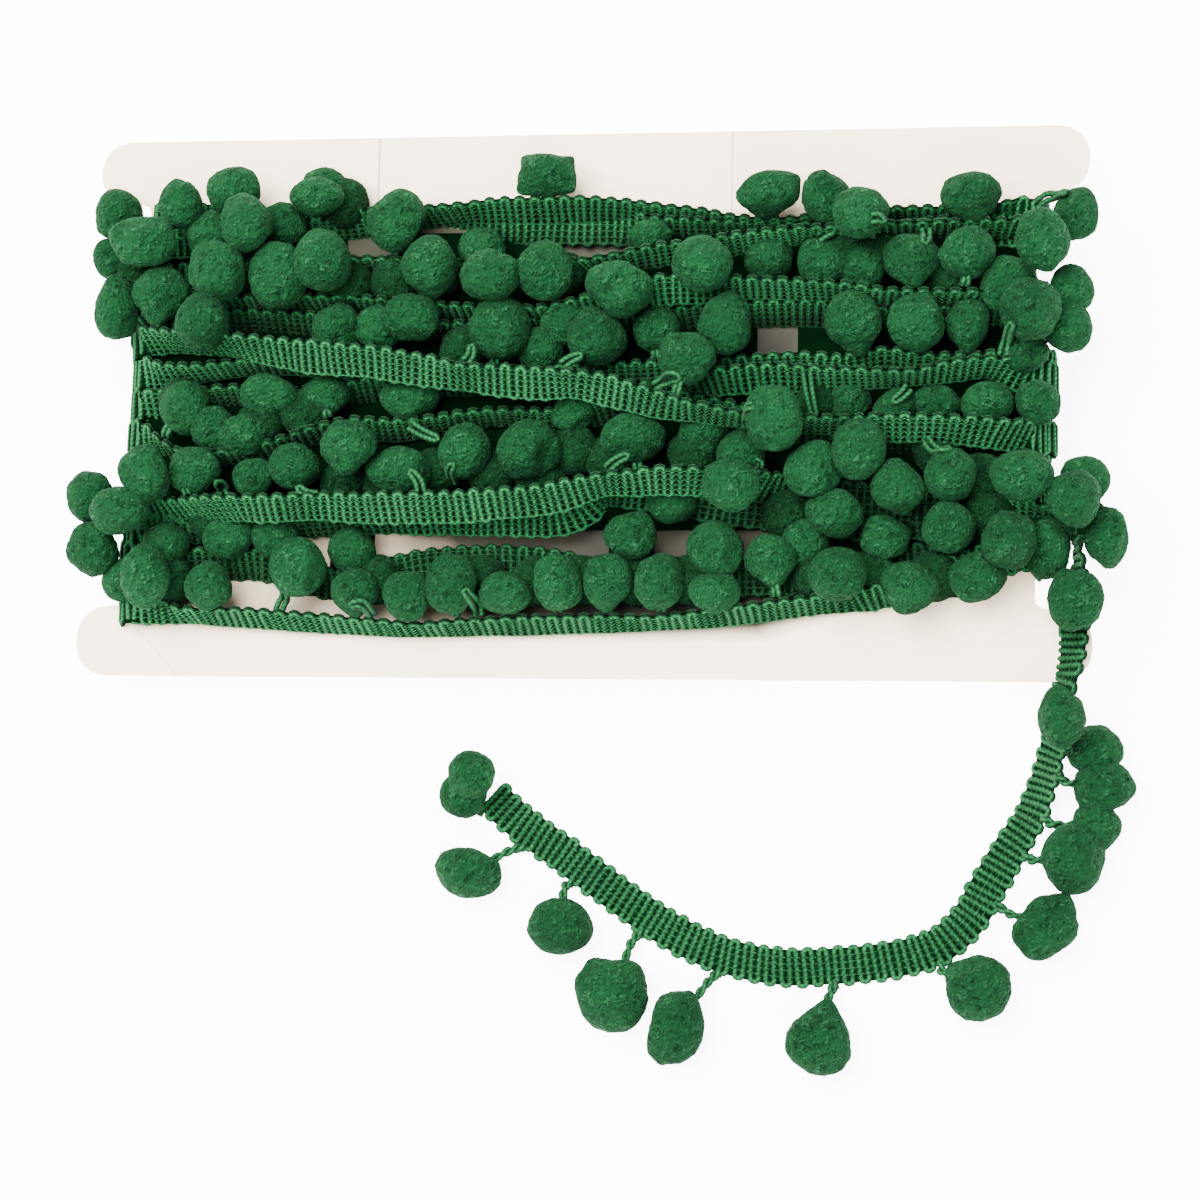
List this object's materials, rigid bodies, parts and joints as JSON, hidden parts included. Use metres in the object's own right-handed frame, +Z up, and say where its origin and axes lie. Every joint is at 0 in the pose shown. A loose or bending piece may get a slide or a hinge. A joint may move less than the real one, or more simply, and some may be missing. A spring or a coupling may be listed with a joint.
{
  "type": "pompom fringe trim wound on a card",
  "caption": "Narrow woven braid fringed with soft pompoms, wound in many turns round a notched I-shaped card, with one loose end lying free.",
  "frame": {"origin": "on the surface the part rests on, at the middle of the card's plan, on the flat underside of a pass of braid", "axes": "+X along the card's length, towards the edge where the loose end leaves; +Y across the card, away from the loose end; +Z up"},
  "size_m": [0.2627, 0.2314, 0.0472],
  "materials": {
    "board": "smooth off-white board, slightly warm, matt, with a faint crease",
    "yarn": "matt emerald green yarn, ribbed braid and dense felted pompoms"
  },
  "bodies": {
    "root": {"card": "board", "wound_trim": "yarn", "loose_end": "yarn"}
  },
  "joints": []
}
